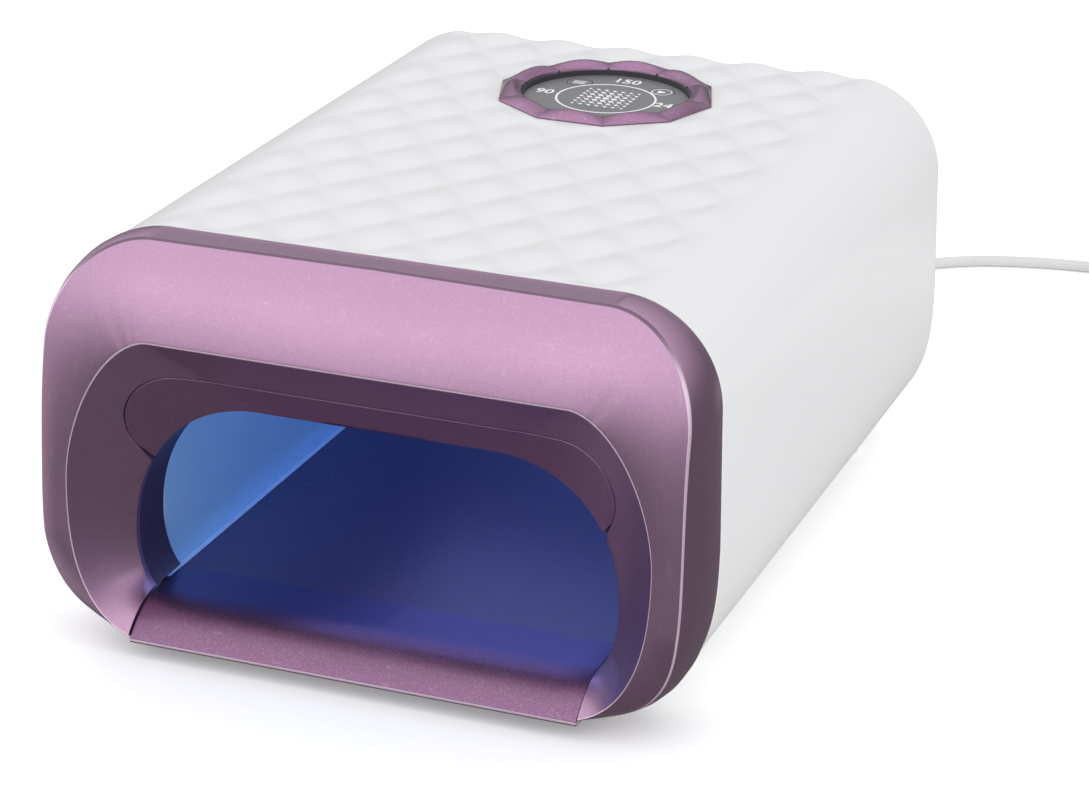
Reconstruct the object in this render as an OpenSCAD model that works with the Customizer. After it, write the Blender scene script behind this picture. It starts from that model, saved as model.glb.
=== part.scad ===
// Nail curing lamp: a tunnel-shaped casing with a metallic front bezel, a pull-out floor tray,
// a mirrored tunnel lit from its ceiling, and a round control disc on top. Millimetres.
// +Z is up and the hand opening faces -Y. The origin is the bottom centre of the lamp.

/* [Casing] */
// Half of the casing's width at the top of its side walls
half_w = 100; // [97:0.5:103]
// How much wider each side is near the bottom
side_flare = 1.4; // [0:0.1:2]
// Height of the casing's top above the table
top_z = 124; // [121:0.5:127]
// Distance from the rear edge to the middle of the lamp
rear_y = 133.2; // [130:0.1:136]
// Radius of the two top corners
top_r = 31; // [28:0.5:34]
// Thickness of the casing's wall
wall = 2.5; // [2:0.1:3]

/* [Front] */
// Depth of the bezel from the seam to its foremost lip
lip_depth = 26.2; // [24:0.1:28]
// How far the front leans back, as a slope
lean = 0.042; // [0:0.002:0.05]
// Half of the width of the funnel's lip
lip_half = 90.2; // [88:0.1:92]
// Height of the top of the funnel's lip
lip_top = 98; // [95:0.5:101]
// Half of the hand opening's width
mouth_half = 75.7; // [74.5:0.1:77]
// Height of the top of the hand opening
mouth_top = 75.6; // [73:0.1:77]
// Thickness of the bezel's skin
skin = 1.9; // [1.6:0.1:2.2]

/* [Tray] */
// Half of the tray's width
tray_half = 70; // [69:0.1:70]
// Height of the ramp's top edge
ramp_top = 14.9; // [14.5:0.1:15.3]
// Rear end of the tray
tray_rear = 95; // [85:1:95]

/* [Control] */
// Distance of the control disc from the middle of the lamp, towards the rear
dial_y = 77.2; // [70:0.1:82]
// Radius of the ring's ten outer corners
ring_r = 36.5; // [35:0.1:38]
// Radius of the control disc
disc_r = 27.4; // [26.5:0.1:27.4]
// Radius of a push key
key_r = 4.2; // [3.8:0.1:4.4]

/* [Lamp board] */
// Columns of emitters across the tunnel
led_cols = 4; // [2:1:5]
// Rows of emitters along the tunnel
led_rows = 6; // [6:1:6]
// Distance between emitter columns
led_pitch_x = 32; // [24:1:34]
// Distance between emitter rows
led_pitch_y = 34; // [28:1:36]

/* [Lead] */
// Diameter of the lead
lead_d = 4.2; // [4:0.1:4.5]
// Radius of the middle of the coil's turns
coil_r = 25; // [23:0.5:26]

/* [Hidden] */

white = [0.9, 0.9, 0.9];
mauve = [0.62, 0.45, 0.59];
plum = [0.36, 0.24, 0.35];
mirror_grey = [0.78, 0.8, 0.84];
board_white = [0.86, 0.88, 0.86];
board_green = [0.1, 0.32, 0.2];
disc_grey = [0.4, 0.4, 0.41];
steel = [0.7, 0.71, 0.73];

feet_h = 3;
base_z = feet_h;
mid_z = (base_z + top_z) / 2;
bottom_r = 51;
bottom_power = 3.1;
seam_y = -rear_y + lip_depth + 2.4;
lip_y = seam_y - lip_depth;
mouth_y = seam_y - 9.7;
foot_x = 78.5;
foot_front_y = -73.5;
foot_rear_y = 106;
slot_half = 74.6;
base_half = 74.4;
deck_z = 5.5;
rim_end = tray_half + 0.3;
hole_r = 29.6;
disc_top = top_z - 1.4;
key_orbit = 20.5;
select_angle = 135;
start_angle = 45;
board_z = top_z - 14;
tunnel_half = 76.4;
tunnel_top = 80;
collar_depth = 16;
tunnel_front = mouth_y + collar_depth + 0.6;
rail_top = 9.4;
rail_w = 3.6;
reflector_rear = 98;
sheet = 0.8;
led_board_z = 84;
jack_x = 28;
jack_z = 18;
screw_places = [[-71.9, -95], [71.9, -95], [-71.9, 105], [71.9, 105]];

function pick(a, b, t) = a + (b - a) * t;
function unit(v) = v / norm(v);

// ---- Outlines ----

// Right half of a tunnel outline, from the bottom up to the middle of the top, as [x, z].
// spec = [half width, bottom, top, top rx, top rz, top power, bottom rx, bottom rz, bottom power, flare]
corner_steps = 16;
function half_outline(s, end_x) =
    let (cx = s[0] + s[9] - s[6], share = (end_x - cx) / s[6],
         a0 = share <= 0 ? 90 : acos(pow(share, s[8] / 2)))
    concat(
        [for (i = [0:corner_steps]) let (a = a0 * (1 - i / corner_steps))
            [cx + s[6] * pow(cos(a), 2 / s[8]), s[1] + s[7] - s[7] * pow(sin(a), 2 / s[8])]],
        [for (i = [0:corner_steps]) let (a = 90 * i / corner_steps)
            [s[0] - s[3] + s[3] * pow(max(cos(a), 0), 2 / s[5]),
             s[2] - s[4] + s[4] * pow(sin(a), 2 / s[5])]],
        [for (i = [1:3]) [(s[0] - s[3]) * (1 - i / 3), s[2]]]);

function flip(points) = [for (i = [len(points) - 1:-1:0]) [-points[i][0], points[i][1]]];
function full_outline(s) = concat(half_outline(s, 0), flip(half_outline(s, 0)));

function casing_spec(inset) = [half_w - inset, base_z + inset, top_z - inset, top_r - inset,
    top_r - inset, 2, bottom_r - inset, bottom_r - inset, bottom_power, side_flare];

module along_y(y0, y1) {
    translate([0, y1, 0]) rotate([90, 0, 0]) linear_extrude(y1 - y0) children();
}

// Everything in front of the leaning seam, moved back by shift
module front_half(shift) {
    translate([0, seam_y + shift, mid_z]) rotate([-atan(lean), 0, 0])
        translate([-150, -80, -150]) cube([300, 80, 300]);
}

// ---- Bezel surface ----

seam_spec = [half_w, base_z, top_z, top_r, top_r, 2, bottom_r, bottom_r, bottom_power, side_flare];
crease_spec = [98.3, base_z + 1.4, top_z, 29.3, top_r, 2, 47, 49, 3.3, 0.3];
lip_spec = [lip_half, base_z + 2.6, lip_top, 26.2, 44.6, 1.76, 30, 48, 2.5, 0];
mouth_spec = [mouth_half, 11.8, mouth_top, 39.9, 42.4, 2.13, 12, 21.3, 2, 0];

// The crease sits far back over the top and sweeps forward round the corners
function brow(x, z) = -25.4 + 14.5 * pow(min(max((z - 60) / 64, 0), 1), 3)
    + 1.5 * max(1 - x / 69, 0) + 6 * pow(max((35 - z) / 30, 0), 1.2);

function lift(points, y) = [for (p = points) [p[0], y, p[1]]];
seam_path = lift(half_outline(seam_spec, rim_end), seam_y);
crease_path = [for (p = half_outline(crease_spec, rim_end)) [p[0], seam_y + brow(p[0], p[1]), p[1]]];
lip_path = lift(half_outline(lip_spec, rim_end), lip_y);
mouth_path = lift(half_outline(mouth_spec, rim_end), mouth_y);
path_last = len(seam_path) - 1;
corner_start = corner_steps + 1;

// A point between two edges, bowed by a share of their distance; out = 1 bows towards the front
function bowed(a, b, t, bow) =
    let (across = [a[0] - b[0], 0, a[2] - b[2]], away = a[1] - b[1], gap = norm(a - b),
         n = norm(across) < 0.01 ? [0, -1, 0]
             : unit(unit(across) * abs(away) + [0, away > 0 ? -norm(across) : norm(across), 0]))
    pick(a, b, t) + n * 4 * bow * t * (1 - t) * gap;

// The funnel is nearly straight, and swells next to the tray to meet the ramp's curve
function funnel_bow(i) = 0.02 - 0.13 * pow(max(1 - i / 7, 0), 1.5);
function funnel(i, t) = bowed(lip_path[i], mouth_path[i], t, funnel_bow(i));
// The back of the skin; at the mouth it lies straight behind the front
function behind(i, t) =
    let (r = unit([lip_path[i][0] - mouth_path[i][0] + 0.01, 0,
                   lip_path[i][2] - mouth_path[i][2] + 0.01]))
    funnel(i, t) + r * skin * 0.8 * (1 - pow(t, 4)) + [0, skin, 0];

// The visor is what lies inside a long slot shape, seen from the front
visor_half = 59.5;
visor_z = 69.2;
visor_r = 16.2;
function outside_visor(p) = norm([max(p[0] - visor_half, 0), p[2] - visor_z]) - visor_r;

// Where the visor's seam lies between the lip, 0, and the mouth, 1, found by halving
function seam_share(i, low = 0, high = 1, left = 10) =
    outside_visor(mouth_path[i]) > 0 ? 1
    : left == 0 ? (low + high) / 2
    : let (mid = (low + high) / 2)
        outside_visor(funnel(i, mid)) > 0 ? seam_share(i, mid, high, left - 1)
                                          : seam_share(i, low, mid, left - 1);

function tilt(points) = [for (p = points) [p[0], p[1] + lean * (p[2] - mid_z), p[2]]];
function mirrored(rows) = concat(rows, [for (i = [len(rows) - 2:-1:0]) [for (p = rows[i]) [-p[0], p[1], p[2]]]]);

// A closed skin through rows of equal length; each row is a closed loop
module loft(rows) {
    n = len(rows[0]);
    m = len(rows);
    points = [for (r = rows) for (p = r) p];
    sides = [for (j = [0:m - 2]) for (k = [0:n - 1])
        let (a = j * n + k, b = j * n + (k + 1) % n)
        each [[a, b, b + n], [a, b + n, a + n]]];
    polyhedron(points = points, faces = concat([[for (k = [n - 1:-1:0]) k]], sides,
        [[for (k = [0:n - 1]) (m - 1) * n + k]]));
}

function bezel_row(i) =
    let (v = seam_share(i), s = seam_path[i], c = crease_path[i], l = lip_path[i],
         in = unit([i == 0 ? 0 : s[0], 0, s[2] - mid_z]) * 2.2)
    tilt(concat([s, bowed(s, c, 0.5, 0.08), c],
        [for (t = [0.3, 0.6, 0.85]) bowed(c, l, t, 0.06)], [l],
        [for (k = [1:4]) funnel(i, v * k / 4)],
        [for (k = [4:-1:1]) behind(i, v * k / 4)],
        [l + [0, 3.2, 0] + unit([c[0] - l[0], 0, c[2] - l[2]]) * 1.2, c + [0, 3, 0] - in, s - in]));

function visor_row(i) =
    let (v = min(seam_share(i) + 0.012, 0.96))
    tilt(concat([for (k = [0:3]) funnel(i, pick(v, 1, k / 3))],
        [for (k = [3:-1:0]) behind(i, pick(v, 1, k / 3))]));

// ---- Casing ----

module casing() {
    color(white) difference() {
        union() {
            difference() {
                along_y(seam_y - 6, rear_y) polygon(full_outline(casing_spec(0)));
                along_y(seam_y - 7, rear_y + 1) polygon(full_outline(casing_spec(wall)));
            }
            for (x = [-46, 46], y = [-78, 20])
                translate([x, y, led_board_z + 3.7])
                    cylinder(h = top_z - led_board_z - 5, r = 3.2, $fn = 32);
        }
        front_half(0);
        translate([0, dial_y, top_z - 10]) cylinder(h = 20, r = hole_r, $fn = 96);
        translate([-slot_half, seam_y - 10, 0])
            cube([2 * slot_half, rear_y - seam_y + 20, rail_top + 0.3]);
    }
}

module rear_cover() {
    color(white) difference() {
        along_y(rear_y - 6, rear_y - 3) polygon(full_outline(casing_spec(wall + 0.1)));
        translate([jack_x, rear_y - 2, jack_z]) rotate([90, 0, 0]) cylinder(h = 6, r = 4.6, $fn = 48);
        for (k = [-4:4])
            translate([k * 9 - 1.5, rear_y - 7, 88]) cube([3, 6, 16]);
    }
}

module bezel() {
    color(mauve) loft(mirrored([for (i = [0:path_last]) bezel_row(i)]));
}

module visor() {
    color(plum) loft(mirrored([for (i = [0:path_last]) if (seam_share(i) < 0.97) visor_row(i)]));
}

module mouth_collar() {
    outside = mouth_spec + [1.6, -1.6, 1.6, 0, 0, 0, 0, 0, 0, 0];
    color(plum) difference() {
        along_y(mouth_y - 6, mouth_y + collar_depth) polygon(full_outline(outside));
        along_y(mouth_y - 7, mouth_y + collar_depth + 1) polygon(full_outline(mouth_spec));
        front_half(mouth_y - seam_y + skin + 0.05);
        translate([-rim_end, mouth_y - 7, 0]) cube([2 * rim_end, 30, 30]);
    }
}

module base_plate() {
    color(white) difference() {
        union() {
            translate([-base_half, seam_y, base_z])
                cube([2 * base_half, rear_y - 3 - seam_y, deck_z - base_z]);
            for (x = [-26, 16])
                translate([x, 112, deck_z - 0.5]) cylinder(h = 15, r = 2.5, $fn = 32);
        }
        for (p = screw_places) translate([p[0], p[1], base_z - 1]) {
            cylinder(h = 6, r = 1.1, $fn = 24);
            cylinder(h = 2.3, r = 1.75, $fn = 32);
        }
    }
}

module guide(side) {
    color(white) difference() {
        translate([side > 0 ? tray_half + 0.4 : -tray_half - 0.4 - rail_w, seam_y + 3, deck_z])
            cube([rail_w, 225, rail_top - deck_z]);
        for (p = screw_places) translate([p[0], p[1], deck_z - 1]) cylinder(h = 8, r = 0.95, $fn = 24);
    }
}

module base_screw(p) {
    color(steel) translate([p[0], p[1], base_z]) {
        translate([0, 0, 0.1]) cylinder(h = 1.1, r = 1.6, $fn = 32);
        translate([0, 0, 1]) cylinder(h = 7, r = 0.9, $fn = 24);
    }
}

module foot(x, y) {
    color([0.82, 0.82, 0.8]) difference() {
        translate([x, y, 0]) cylinder(h = 8, r = 6, $fn = 48);
        along_y(y - 10, y + 10) polygon(full_outline(casing_spec(0)));
        translate([-slot_half, y - 10, base_z]) cube([2 * slot_half, 20, 10]);
    }
}

// ---- Tray ----

ramp_low = [lip_y + lean * (6 - mid_z), 6];
ramp_high = [mouth_y + 0.8, ramp_top];
deck_end = mouth_y + collar_depth;
floor_z = ramp_top - 2;

module tray_front() {
    steps = 14;
    color(mauve) translate([-tray_half, 0, 0]) rotate([90, 0, 90]) linear_extrude(2 * tray_half)
        polygon(concat(
            [for (i = [0:steps]) let (t = i / steps)
                [pick(ramp_low[0], ramp_high[0], t),
                 pick(ramp_high[1], ramp_low[1], pow(1 - t, 2.3))]],
            [[deck_end, ramp_top], [deck_end, floor_z], [seam_y - 1.2, floor_z], [seam_y - 1.2, 5.8],
             [seam_y - 4, 5.8], [seam_y - 4, 4.2], [ramp_low[0] + 1, 4.4]]));
}

module tray_pan() {
    pan_front = seam_y - 1.2;
    color(white) difference() {
        translate([-tray_half, pan_front, 5.8]) cube([2 * tray_half, tray_rear - pan_front, floor_z - 5.8]);
        translate([-tray_half + 2.5, pan_front - 1, 8])
            cube([2 * tray_half - 5, tray_rear - pan_front - 1.5, 10]);
    }
}

module floor_mirror() {
    color(mirror_grey) translate([-tray_half + 0.2, deck_end + 0.1, floor_z])
        cube([2 * tray_half - 0.4, tray_rear - deck_end - 0.1, 1.9]);
}

// ---- Mirrored tunnel ----

module reflector_side(side) {
    color(mirror_grey) translate([side > 0 ? tunnel_half : -tunnel_half - sheet, tunnel_front, rail_top + 0.1])
        cube([sheet, reflector_rear - tunnel_front, tunnel_top - 12.1 - rail_top]);
}

function led_place(col, row) =
    [(col - (led_cols - 1) / 2) * led_pitch_x, -8 + (row - (led_rows - 1) / 2) * led_pitch_y];

module reflector_top() {
    side = 12;
    color(mirror_grey) difference() {
        along_y(tunnel_front, reflector_rear) polygon([
            [tunnel_half, tunnel_top - side], [tunnel_half + sheet, tunnel_top - side],
            [tunnel_half + sheet, tunnel_top - side + 0.4], [tunnel_half - side + 0.4, tunnel_top + sheet],
            [-tunnel_half + side - 0.4, tunnel_top + sheet], [-tunnel_half - sheet, tunnel_top - side + 0.4],
            [-tunnel_half - sheet, tunnel_top - side], [-tunnel_half, tunnel_top - side],
            [-tunnel_half + side, tunnel_top], [tunnel_half - side, tunnel_top]]);
        for (col = [0:led_cols - 1], row = [0:led_rows - 1])
            translate([led_place(col, row)[0], led_place(col, row)[1], tunnel_top - 2])
                cylinder(h = 6, r = 4.2, $fn = 40);
    }
}

module reflector_back() {
    color(mirror_grey) translate([-tunnel_half, reflector_rear + 0.1, rail_top + 0.1])
        cube([2 * tunnel_half, sheet, tunnel_top - rail_top - 0.1]);
}

module led_board() {
    color(board_white) translate([-64, -104, led_board_z]) cube([128, 198, 1.6]);
}

module led_row(row) {
    for (col = [0:led_cols - 1]) translate([led_place(col, row)[0], led_place(col, row)[1], 0]) {
        color(board_white) translate([-2.5, -2.5, led_board_z - 1.6]) cube([5, 5, 1.6]);
        color([0.75, 0.8, 0.95]) translate([0, 0, led_board_z - 3])
            cylinder(h = 1.6, r = 2, $fn = 32);
    }
}

module heat_spreader() {
    color(steel) translate([-58, -98, led_board_z + 1.6]) difference() {
        cube([116, 186, 2]);
        for (k = [0:6]) translate([-1, 18 + k * 25, 1]) cube([118, 8, 2]);
    }
}

// ---- Control disc ----

ring_steps = 60;
function petal(a) = abs(sin(5 * a));
function ring_edge(a) = ring_r * cos(18) / cos(18 - (a % 36));

module control_ring() {
    crest = ring_r - 5.4;
    color(mauve) translate([0, dial_y, top_z]) loft_ring([for (j = [0:ring_steps - 1])
        let (a = 360 * j / ring_steps, e = ring_edge(a))
        [for (q = [[e, 0.05], [e, 0.5], [pick(e, crest, 0.6), 1.3 + 1.4 * petal(a)],
                   [crest, 1.4 + 1.8 * petal(a)], [disc_r + 1, 1.1], [disc_r + 0.3, -5.2],
                   [hole_r - 0.3, -5.2], [hole_r - 0.3, 0.05]])
            [q[0] * cos(a), q[0] * sin(a), q[1]]]]);
}

module loft_ring(rows) {
    n = len(rows[0]);
    m = len(rows);
    polyhedron(points = [for (r = rows) for (p = r) p],
        faces = [for (j = [0:m - 1]) for (k = [0:n - 1])
            let (a = j * n + k, b = j * n + (k + 1) % n,
                 c = ((j + 1) % m) * n + (k + 1) % n, d = ((j + 1) % m) * n + k)
            each [[a, b, c], [a, c, d]]]);
}

function key_place(angle) = [key_orbit * cos(angle), dial_y + key_orbit * sin(angle)];

module control_disc() {
    post_h = disc_top - 2 - board_z - 1.6;
    color(disc_grey) difference() {
        union() {
            translate([0, dial_y, disc_top - 2]) cylinder(h = 2, r = disc_r, $fn = 96);
            for (a = [205, 270, 335]) translate([20 * cos(a), dial_y + 20 * sin(a), board_z + 1.6])
                cylinder(h = post_h + 0.5, r = 2, $fn = 32);
        }
        for (a = [select_angle, start_angle])
            translate([key_place(a)[0], key_place(a)[1], disc_top - 4])
                cylinder(h = 6, r = key_r + 0.3, $fn = 64);
    }
}

module key(angle) {
    color(disc_grey) translate([key_place(angle)[0], key_place(angle)[1], 0]) {
        translate([0, 0, disc_top - 2.4]) cylinder(h = 2.4, r = key_r, $fn = 64);
        translate([0, 0, disc_top - 3.4]) cylinder(h = 1.05, r = key_r + 1, $fn = 64);
        translate([0, 0, board_z + 5.2]) cylinder(h = disc_top - 3 - board_z - 5.2, r = 1.4, $fn = 32);
    }
}

module control_board() {
    color(board_green) translate([0, dial_y, board_z]) cylinder(h = 1.6, r = 26, $fn = 96);
}

module tact_switch(angle) {
    color([0.15, 0.15, 0.16])
        translate([key_place(angle)[0] - 3, key_place(angle)[1] - 3, board_z + 1.6]) cube([6, 6, 3]);
}

module indicator(angle) {
    color([0.9, 0.9, 0.85]) translate([17 * cos(angle), dial_y + 17 * sin(angle), board_z + 1.6])
        cylinder(h = 1.2, r = 1.5, $fn = 32);
}

module buzzer() {
    color([0.15, 0.15, 0.16]) translate([0, dial_y, board_z + 1.6]) cylinder(h = 4, r = 5, $fn = 48);
}

module control_ribbon() {
    color([0.6, 0.6, 0.62]) translate([-6, dial_y + 18, led_board_z + 7])
        cube([12, 0.6, board_z - led_board_z - 7]);
}

module led_ribbon() {
    color([0.6, 0.6, 0.62]) translate([-7, 101, 22.1]) cube([14, 0.6, 60]);
}

module driver_board() {
    color(board_green) translate([-32, 99.5, 20]) cube([54, 24, 1.6]);
}

module inductor() {
    color([0.2, 0.2, 0.2]) translate([-22, 116, 21.6]) cylinder(h = 8, r = 6, $fn = 48);
}

module capacitor() {
    color([0.12, 0.14, 0.3]) translate([14, 116, 21.6]) cylinder(h = 12, r = 4, $fn = 48);
}

module dc_jack() {
    color([0.1, 0.1, 0.1]) difference() {
        translate([jack_x - 4.5, rear_y - 20, jack_z - 5.5]) cube([9, 13.9, 11]);
        translate([jack_x, rear_y - 6, jack_z]) rotate([90, 0, 0]) cylinder(h = 11, r = 3, $fn = 48);
    }
}

// ---- Power lead ----

coil_centre = [160, 291.9];
coil_wide = 4 * lead_d;
coil_high = 3 * lead_d;
tail_x = 186.05;
adapter_y = 178;
adapter_len = 62;
tail_z = 12;

// The lead's middle, from the plug's strain relief to where the coil begins
lead_route = [[28, 172, 18], [28, 180, 17.6], [28, 190, 14.5], [28, 202, 8.5], [28.3, 213, 4],
    [29, 224, 2.2], [31, 240, 2.1], [35, 257, 2.1], [41, 274, 2.1], [50, 289, 2.1], [61, 301, 2.1],
    [71, 308, 2.1], [81, 313, 2.1], [99, 318.4, 2.1], [118, 321.4, 2.1], [138, 322.8, 2.1],
    [150, 323.2, 2.1]];
// The lead's middle from the coil to the adapter
tail_route = [[tail_x, 290, 10.5], [tail_x, 283, 10.6], [tail_x, 275, 10.8], [tail_x, 266, 11.4],
    [tail_x, 257, 11.8], [tail_x, 250, 12]];

function heading(r, i) = unit(r[min(i + 1, len(r) - 1)] - r[max(i - 1, 0)]);

module cord(route) {
    sides = 8;
    rows = [for (i = [0:len(route) - 1]) let (h = heading(route, i),
            across = unit(cross(h, [0, 0, 1])), up = cross(across, h))
        [for (k = [0:sides - 1]) let (a = 360 * (k + 0.5) / sides)
            route[i] + (across * cos(a) + up * sin(a)) * lead_d / 2]];
    loft([for (r = rows) [for (k = [sides - 1:-1:0]) r[k]]]);
}

// Catmull-Rom points between the hand-placed ones
function curve(r, steps) = concat([for (i = [0:len(r) - 2]) for (k = [0:steps - 1])
    let (t = k / steps, a = r[max(i - 1, 0)], b = r[i], c = r[i + 1], d = r[min(i + 2, len(r) - 1)])
    0.5 * (2 * b + (c - a) * t + (2 * a - 5 * b + 4 * c - d) * t * t
        + (3 * b - a - 3 * c + d) * t * t * t)], [r[len(r) - 1]]);

module lead() {
    color(white) cord(curve(lead_route, 2));
}

module lead_coil() {
    color(white) translate([coil_centre[0], coil_centre[1], 0]) rotate_extrude($fn = 96)
        translate([coil_r - coil_wide / 2, 0]) square([coil_wide, coil_high]);
}

module lead_tail() {
    color(white) cord(curve(tail_route, 2));
}

module coil_tie() {
    y = coil_centre[1] - coil_r - coil_wide / 2 - 1.4;
    color([0.3, 0.3, 0.3]) translate([coil_centre[0] - 3, y, 0]) difference() {
        cube([6, coil_wide + 2.8, coil_high + 1.2]);
        translate([-1, 1, -1]) cube([8, coil_wide + 0.8, coil_high + 1.1]);
    }
}

module dc_plug() {
    color([0.93, 0.93, 0.93]) translate([jack_x, rear_y - 2.9, jack_z]) rotate([-90, 0, 0]) {
        cylinder(h = 22, r = 5.2, $fn = 48);
        translate([0, 0, -12.5]) cylinder(h = 13, r = 2.75, $fn = 48);
    }
}

module dc_plug_relief() {
    color(white) translate([jack_x, rear_y + 19.1, jack_z]) rotate([-90, 0, 0])
        rotate_extrude($fn = 48) polygon([[0, 0], [4.2, 0], [3.6, 8], [2.6, 19.7], [0, 19.7]]);
}

module adapter_relief() {
    color(white) translate([tail_x, adapter_y + adapter_len, tail_z]) rotate([-90, 0, 0])
        rotate_extrude($fn = 48) polygon([[0, 0], [4.2, 0], [3.6, 4], [2.7, 10], [0, 10]]);
}

module adapter() {
    color(white) translate([tail_x, adapter_y, 20]) rotate([-90, 0, 0])
        linear_extrude(adapter_len) offset(4, $fn = 24) square([22, 32], center = true);
}

module adapter_pin(side) {
    color(steel) translate([tail_x + 15, adapter_y + 26 + side * 9.5, 20]) rotate([0, 90, 0])
        cylinder(h = 19, r = 2, $fn = 32);
}

casing();
rear_cover();
bezel();
visor();
mouth_collar();
base_plate();
guide(-1);  // guide_left
guide(1);  // guide_right
tray_front();
tray_pan();
floor_mirror();
reflector_side(-1);  // reflector_left
reflector_side(1);  // reflector_right
reflector_top();
reflector_back();
led_board();
led_row(0);  // led_row_1
led_row(1);  // led_row_2
led_row(2);  // led_row_3
led_row(3);  // led_row_4
led_row(4);  // led_row_5
led_row(5);  // led_row_6
heat_spreader();
control_ring();
control_disc();
key(select_angle);  // select_key
key(start_angle);  // start_key
control_board();
tact_switch(select_angle);  // select_switch
tact_switch(start_angle);  // start_switch
indicator(180);  // indicator_1
indicator(90);  // indicator_2
indicator(0);  // indicator_3
buzzer();
control_ribbon();
led_ribbon();
driver_board();
inductor();
capacitor();
dc_jack();
foot(-foot_x, foot_front_y);  // foot_1
foot(foot_x, foot_front_y);  // foot_2
foot(-foot_x, foot_rear_y);  // foot_3
foot(foot_x, foot_rear_y);  // foot_4
base_screw(screw_places[0]);  // base_screw_1
base_screw(screw_places[1]);  // base_screw_2
base_screw(screw_places[2]);  // base_screw_3
base_screw(screw_places[3]);  // base_screw_4
dc_plug();
dc_plug_relief();
lead();
lead_coil();
lead_tail();
adapter_relief();
adapter();
adapter_pin(-1);  // adapter_pin_1
adapter_pin(1);  // adapter_pin_2
coil_tie();
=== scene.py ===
import math

import bmesh
import bpy
from mathutils import Matrix, Vector


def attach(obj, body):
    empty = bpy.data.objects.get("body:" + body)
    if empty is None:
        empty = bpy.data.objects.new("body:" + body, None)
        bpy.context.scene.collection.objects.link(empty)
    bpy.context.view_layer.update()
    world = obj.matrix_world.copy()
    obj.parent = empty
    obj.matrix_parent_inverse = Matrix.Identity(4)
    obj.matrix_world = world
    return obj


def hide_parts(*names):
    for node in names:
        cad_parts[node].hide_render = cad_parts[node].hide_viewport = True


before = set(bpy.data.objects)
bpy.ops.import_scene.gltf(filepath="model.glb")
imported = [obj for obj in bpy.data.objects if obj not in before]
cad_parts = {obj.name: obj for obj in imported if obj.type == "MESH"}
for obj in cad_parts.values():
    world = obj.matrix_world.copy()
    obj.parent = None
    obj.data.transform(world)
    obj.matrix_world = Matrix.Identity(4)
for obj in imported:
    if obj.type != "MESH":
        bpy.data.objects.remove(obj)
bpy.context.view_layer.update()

# A UV LED nail lamp, made piece by piece round the frame of its CAD parts. Shapes are
# worked out in millimetres, and set_down() puts each finished one down in metres.

# ---- Camera ----
# Stands to the right of the lamp's mouth and looks down on it through a long lens.
# It is set first, because the coil of the lead is laid where it can't see.
eye = Vector((0.35219, -0.92307, 0.43523))
swing, dip, cant = (math.radians(a) for a in (20.384, 21.495, 1.124))
backward = Vector((math.sin(swing) * math.cos(dip), -math.cos(swing) * math.cos(dip), math.sin(dip)))
level = Vector((0, 0, 1)).cross(backward).normalized()
upward = backward.cross(level)
rightward = level * math.cos(cant) + upward * math.sin(cant)
topward = upward * math.cos(cant) - level * math.sin(cant)
facing = Matrix((rightward, topward, backward)).transposed().to_4x4()
camera = bpy.data.objects.new("camera", bpy.data.cameras.new("camera"))
camera.data.sensor_width = 36
camera.data.lens = 110.59
camera.matrix_world = Matrix.Translation(eye) @ facing
bpy.context.collection.objects.link(camera)
bpy.context.scene.camera = camera


# ---- Power lead ----
# One soft white PVC lead, 4.2 mm thick and about 1.5 m long, from the plug at the back
# of the lamp to the mains adapter. What isn't seen is wound into a flat-lying coil.
def add(tree, kind, inputs=None, **settings):
    """A shader node with its settings, whose inputs are given values or linked."""
    node = tree.nodes.new("ShaderNode" + kind)
    for name, value in settings.items():
        setattr(node, name, value)
    for name, value in (inputs or {}).items():
        if isinstance(value, bpy.types.NodeSocket):
            tree.links.new(value, node.inputs[name])
        else:
            node.inputs[name].default_value = value
    return node


def make_worked_surface():
    """A node group that mottles a colour, varies its roughness and gives a grain's height."""
    tree = bpy.data.node_groups.new("worked_surface", "ShaderNodeTree")
    sockets = tree.interface
    for name, kind in (("Colour", "Color"), ("Roughness", "Float"), ("Mottle", "Float"),
                       ("Mottle size", "Float"), ("Wear", "Float"), ("Grain size", "Float"),
                       ("Stretch", "Vector")):
        sockets.new_socket(name, in_out="INPUT", socket_type="NodeSocket" + kind)
    for name, kind in (("Colour", "Color"), ("Roughness", "Float"), ("Height", "Float")):
        sockets.new_socket(name, in_out="OUTPUT", socket_type="NodeSocket" + kind)
    given = tree.nodes.new("NodeGroupInput").outputs
    place = add(tree, "TexCoord").outputs["Object"]
    broad = add(tree, "TexNoise", {"Vector": place, "Scale": given["Mottle size"], "Detail": 5.0,
                                   "Roughness": 0.6}).outputs["Fac"]
    pulled = add(tree, "VectorMath", {0: place, 1: given["Stretch"]}, operation="MULTIPLY").outputs[0]
    fine = add(tree, "TexNoise", {"Vector": pulled, "Scale": given["Grain size"],
                                  "Detail": 3.0}).outputs["Fac"]
    both = add(tree, "Math", {0: broad, 1: fine}, operation="ADD").outputs[0]
    uneven = add(tree, "Math", {0: both, 1: -1.0}, operation="ADD").outputs[0]
    bright = add(tree, "Math", {0: uneven, 1: given["Mottle"], 2: 1.0},
                 operation="MULTIPLY_ADD").outputs[0]
    colour = add(tree, "HueSaturation", {"Color": given["Colour"], "Value": bright}).outputs[0]
    rough = add(tree, "Math", {0: uneven, 1: given["Wear"], 2: given["Roughness"]},
                operation="MULTIPLY_ADD", use_clamp=True).outputs[0]
    out = tree.nodes.new("NodeGroupOutput").inputs
    for name, value in (("Colour", colour), ("Roughness", rough), ("Height", fine)):
        tree.links.new(value, out[name])
    return tree


worked_surface = make_worked_surface()


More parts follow.
